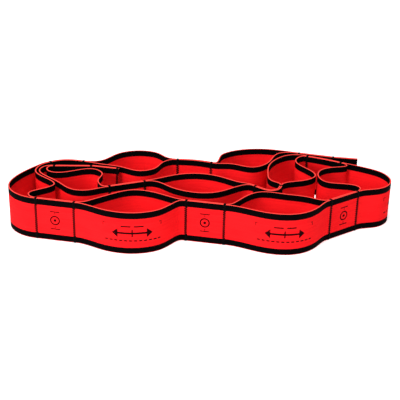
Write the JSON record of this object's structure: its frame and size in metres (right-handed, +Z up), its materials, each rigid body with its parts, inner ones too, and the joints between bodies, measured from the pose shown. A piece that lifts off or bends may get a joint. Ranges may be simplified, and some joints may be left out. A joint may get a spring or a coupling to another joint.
{
  "type": "multi-loop elastic stretching band",
  "caption": "Two plies of elastic webbing sewn into a chain of open hand and foot loops with flat joins between, standing on edge in a loose coil.",
  "frame": {"origin": "centre of the coil's bounding box in plan, on the surface that the webbing's lower edge stands on", "axes": "+X along the long side of the coil, towards the free tail; +Y towards the back of the coil, away from the front row of loops; +Z up, across the width of the webbing"},
  "size_m": [0.3532, 0.1566, 0.04],
  "materials": {
    "webbing": "woven elastic, bright red with black bands along both edges",
    "thread": "black polyester sewing thread"
  },
  "bodies": {
    "core": {"flat_2_ply_left": "webbing", "flat_2_ply_right": "webbing", "flat_2_seams": "thread", "loop_2_ply_left": "webbing", "loop_2_ply_right": "webbing", "flat_3_ply_left": "webbing", "flat_3_ply_right": "webbing", "flat_3_seams": "thread", "loop_3_ply_left": "webbing", "loop_3_ply_right": "webbing", "flat_4_ply_left": "webbing", "flat_4_ply_right": "webbing", "flat_4_seams": "thread", "loop_4_ply_left": "webbing", "loop_4_ply_right": "webbing", "flat_5_ply_left": "webbing", "flat_5_ply_right": "webbing", "flat_5_seams": "thread", "loop_5_ply_left": "webbing", "loop_5_ply_right": "webbing", "flat_6_ply_left": "webbing", "flat_6_ply_right": "webbing", "flat_6_seams": "thread", "loop_6_ply_left": "webbing", "loop_6_ply_right": "webbing"},
    "loop_1": {"loop_1_ply_left": "webbing", "loop_1_ply_right": "webbing"},
    "flat_1": {"flat_1_ply_left": "webbing", "flat_1_ply_right": "webbing", "flat_1_seams": "thread"},
    "closed_tail": {"closed_tail_ply_left": "webbing", "closed_tail_ply_right": "webbing", "closed_tail_seam": "thread"},
    "flat_7": {"flat_7_ply_left": "webbing", "flat_7_ply_right": "webbing", "flat_7_seams": "thread"},
    "loop_7": {"loop_7_ply_left": "webbing", "loop_7_ply_right": "webbing"},
    "flat_8": {"flat_8_ply_left": "webbing", "flat_8_ply_right": "webbing", "flat_8_seams": "thread"},
    "loop_8": {"loop_8_ply_left": "webbing", "loop_8_ply_right": "webbing"},
    "flat_9": {"flat_9_ply_left": "webbing", "flat_9_ply_right": "webbing", "flat_9_seams": "thread"},
    "loop_9": {"loop_9_ply_left": "webbing", "loop_9_ply_right": "webbing"},
    "flat_10": {"flat_10_ply_left": "webbing", "flat_10_ply_right": "webbing", "flat_10_seams": "thread"},
    "free_tail": {"free_tail_ply_left": "webbing", "free_tail_ply_right": "webbing"}
  },
  "joints": [
    {"name": "closed_tail_bend", "type": "hinge", "parent": "flat_1", "child": "closed_tail", "pos_m": [-0.10444, 0.02383, 0], "axis": [0, 0, -1], "range_deg": [-2, 20]},
    {"name": "flat_1_bend", "type": "hinge", "parent": "loop_1", "child": "flat_1", "pos_m": [-0.14384, 0.02215, 0], "axis": [0, 0, -1], "range_deg": [0, 3]},
    {"name": "loop_1_bend", "type": "hinge", "parent": "core", "child": "loop_1", "pos_m": [-0.08667, -0.02311, 0], "axis": [0, 0, -1], "range_deg": [0, 5]},
    {"name": "flat_7_bend", "type": "hinge", "parent": "core", "child": "flat_7", "pos_m": [-0.10998, -0.0587, 0], "axis": [0, 0, 1], "range_deg": [0, 20]},
    {"name": "loop_7_bend", "type": "hinge", "parent": "flat_7", "child": "loop_7", "pos_m": [-0.1488, -0.05082, 0], "axis": [0, 0, 1], "range_deg": [0, 60]},
    {"name": "flat_8_bend", "type": "hinge", "parent": "loop_7", "child": "flat_8", "pos_m": [-0.1485, 0.03057, 0], "axis": [0, 0, 1], "range_deg": [0, 60]},
    {"name": "loop_8_bend", "type": "hinge", "parent": "flat_8", "child": "loop_8", "pos_m": [-0.11301, 0.0347, 0], "axis": [0, 0, 1], "range_deg": [0, 45]},
    {"name": "flat_9_bend", "type": "hinge", "parent": "loop_8", "child": "flat_9", "pos_m": [-0.02684, 0.04529, 0], "axis": [0, 0, 1], "range_deg": [0, 45]},
    {"name": "loop_9_bend", "type": "hinge", "parent": "flat_9", "child": "loop_9", "pos_m": [0.01044, 0.03851, 0], "axis": [0, 0, 1], "range_deg": [0, 45]},
    {"name": "flat_10_bend", "type": "hinge", "parent": "loop_9", "child": "flat_10", "pos_m": [0.09373, 0.06929, 0], "axis": [0, 0, 1], "range_deg": [-5, 45]},
    {"name": "free_tail_bend", "type": "hinge", "parent": "flat_10", "child": "free_tail", "pos_m": [0.13099, 0.05969, 0], "axis": [0, 0, 1], "range_deg": [-15, 45]}
  ]
}
